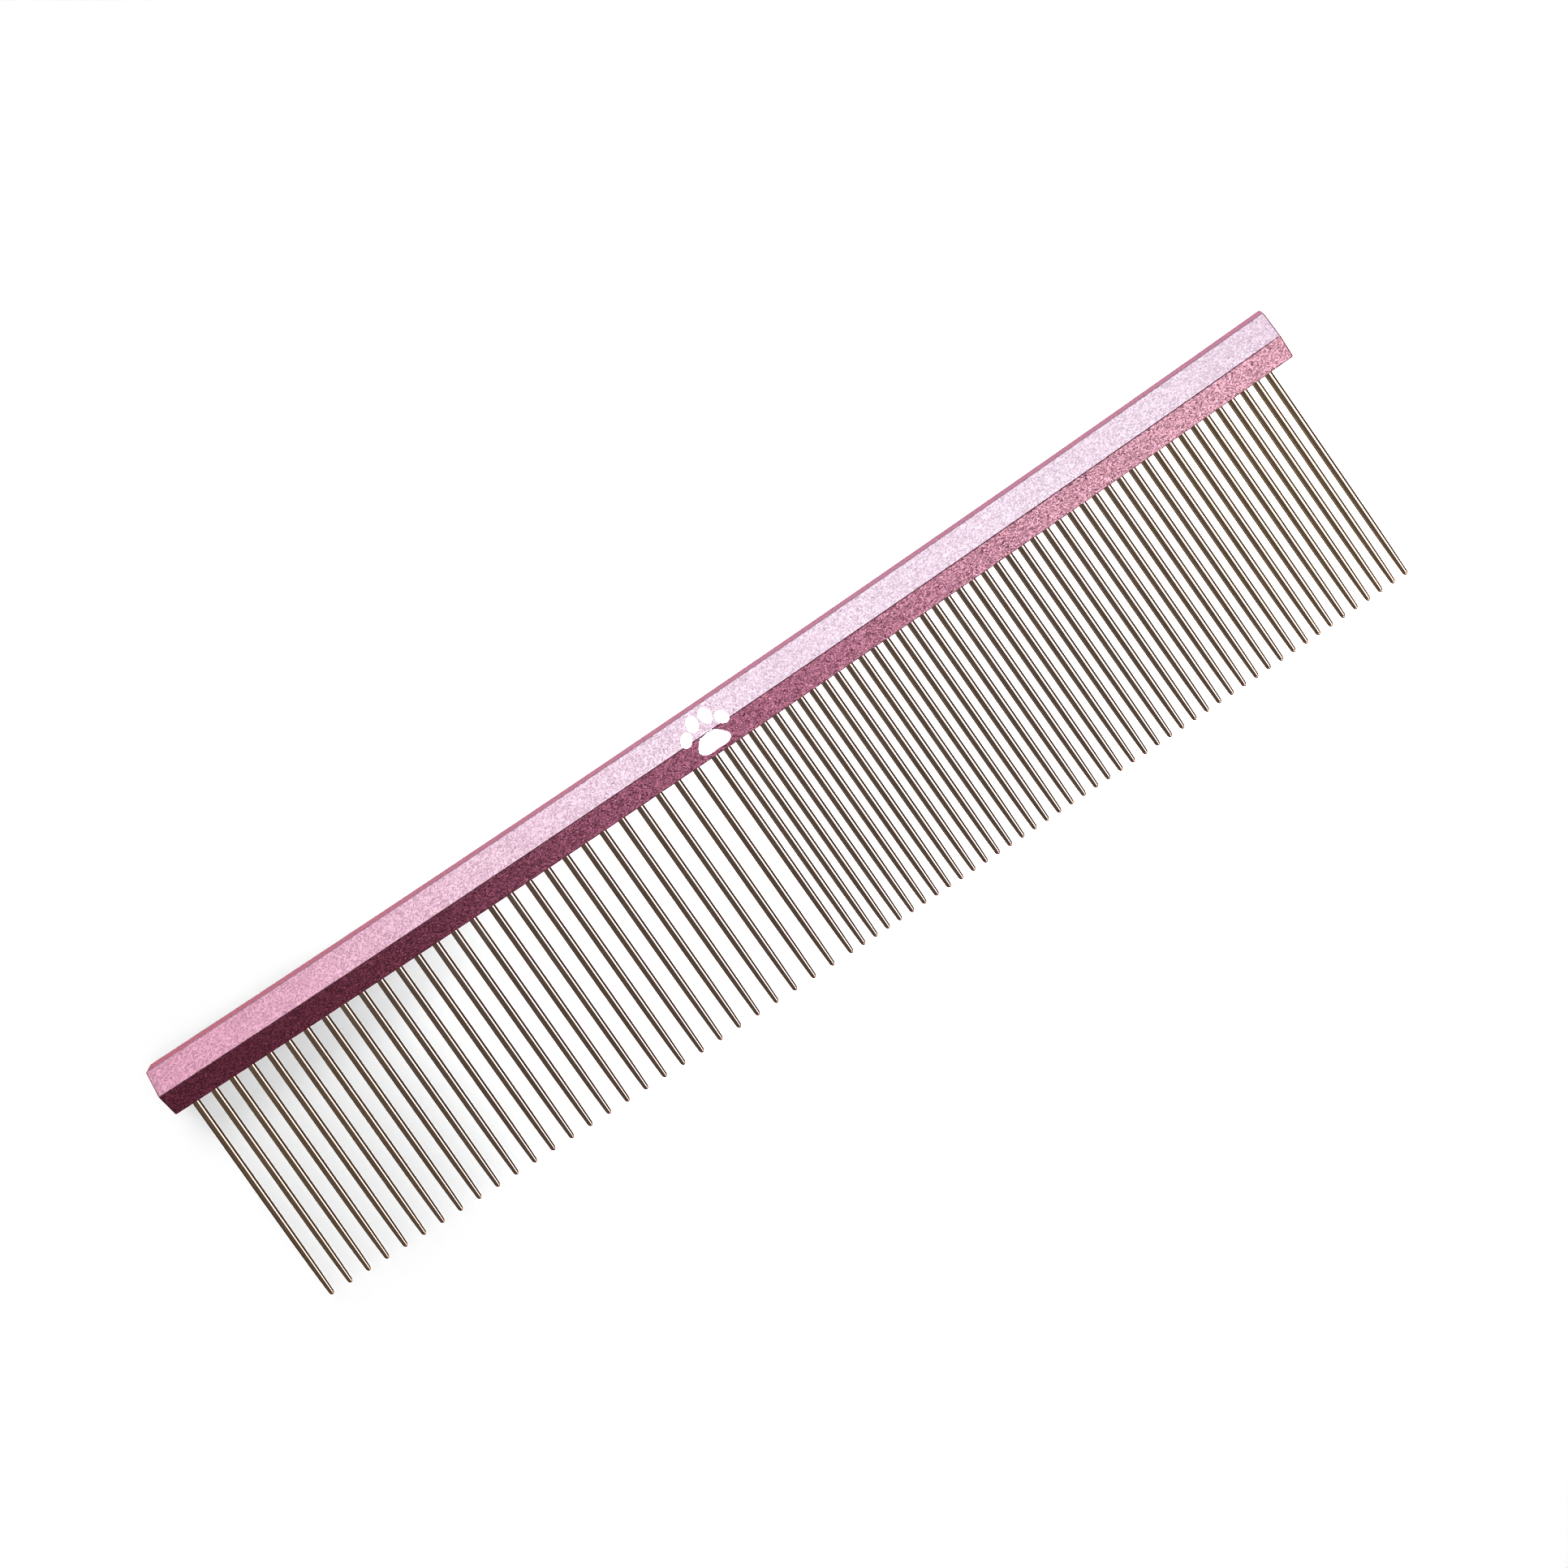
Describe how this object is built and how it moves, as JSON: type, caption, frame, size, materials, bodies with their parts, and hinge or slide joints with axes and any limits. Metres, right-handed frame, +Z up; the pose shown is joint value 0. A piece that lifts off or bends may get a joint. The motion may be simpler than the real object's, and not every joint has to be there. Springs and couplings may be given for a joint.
{
  "type": "grooming comb",
  "caption": "Straight pet grooming comb: painted hexagonal spine holding a row of round tapered steel teeth, wide spacing at one end and close spacing at the other.",
  "frame": {"origin": "middle of the spine's back flat, on the plane through the axes of the teeth", "axes": "+X runs along the spine from the widely spaced end to the closely spaced end; +Y is the outward normal of the back flat, so the teeth point to -Y; +Z is square to the row of teeth, and the comb lies with Z up"},
  "size_m": [0.1902, 0.043, 0.0086],
  "materials": {
    "spine_paint": "pink to lilac metallic paint with fine sparkle flake, satin gloss",
    "tooth_steel": "polished steel with a warm tone"
  },
  "bodies": {
    "root": {"spine": "spine_paint", "coarse_teeth_01_02": "tooth_steel", "coarse_teeth_03_04": "tooth_steel", "coarse_teeth_05_06": "tooth_steel", "coarse_teeth_07_08": "tooth_steel", "coarse_teeth_09_10": "tooth_steel", "coarse_teeth_11_12": "tooth_steel", "coarse_teeth_13_14": "tooth_steel", "coarse_teeth_15_16": "tooth_steel", "coarse_teeth_17_18": "tooth_steel", "coarse_teeth_19_20": "tooth_steel", "coarse_teeth_21_22": "tooth_steel", "coarse_teeth_23_24": "tooth_steel", "coarse_teeth_25_26": "tooth_steel", "coarse_teeth_27_28_29": "tooth_steel", "fine_tooth_30": "tooth_steel", "fine_tooth_31": "tooth_steel", "fine_tooth_32": "tooth_steel", "fine_tooth_33": "tooth_steel", "fine_tooth_34": "tooth_steel", "fine_tooth_35": "tooth_steel", "fine_tooth_36": "tooth_steel", "fine_tooth_37": "tooth_steel", "fine_tooth_38": "tooth_steel", "fine_tooth_39": "tooth_steel", "fine_tooth_40": "tooth_steel", "fine_tooth_41": "tooth_steel", "fine_tooth_42": "tooth_steel", "fine_tooth_43": "tooth_steel", "fine_tooth_44": "tooth_steel", "fine_tooth_45": "tooth_steel", "fine_tooth_46": "tooth_steel", "fine_tooth_47": "tooth_steel", "fine_tooth_48": "tooth_steel", "fine_tooth_49": "tooth_steel", "fine_tooth_50": "tooth_steel", "fine_tooth_51": "tooth_steel", "fine_tooth_52": "tooth_steel", "fine_tooth_53": "tooth_steel", "fine_tooth_54": "tooth_steel", "fine_tooth_55": "tooth_steel", "fine_tooth_56": "tooth_steel", "fine_tooth_57": "tooth_steel", "fine_tooth_58": "tooth_steel", "fine_tooth_59": "tooth_steel", "fine_tooth_60": "tooth_steel", "fine_tooth_61": "tooth_steel", "fine_tooth_62": "tooth_steel", "fine_tooth_63": "tooth_steel", "fine_tooth_64": "tooth_steel", "fine_tooth_65": "tooth_steel", "fine_tooth_66": "tooth_steel", "fine_tooth_67": "tooth_steel", "fine_tooth_68": "tooth_steel", "fine_tooth_69": "tooth_steel", "fine_tooth_70": "tooth_steel", "fine_tooth_71": "tooth_steel", "fine_tooth_72": "tooth_steel", "fine_tooth_73": "tooth_steel", "fine_tooth_74": "tooth_steel"}
  },
  "joints": []
}
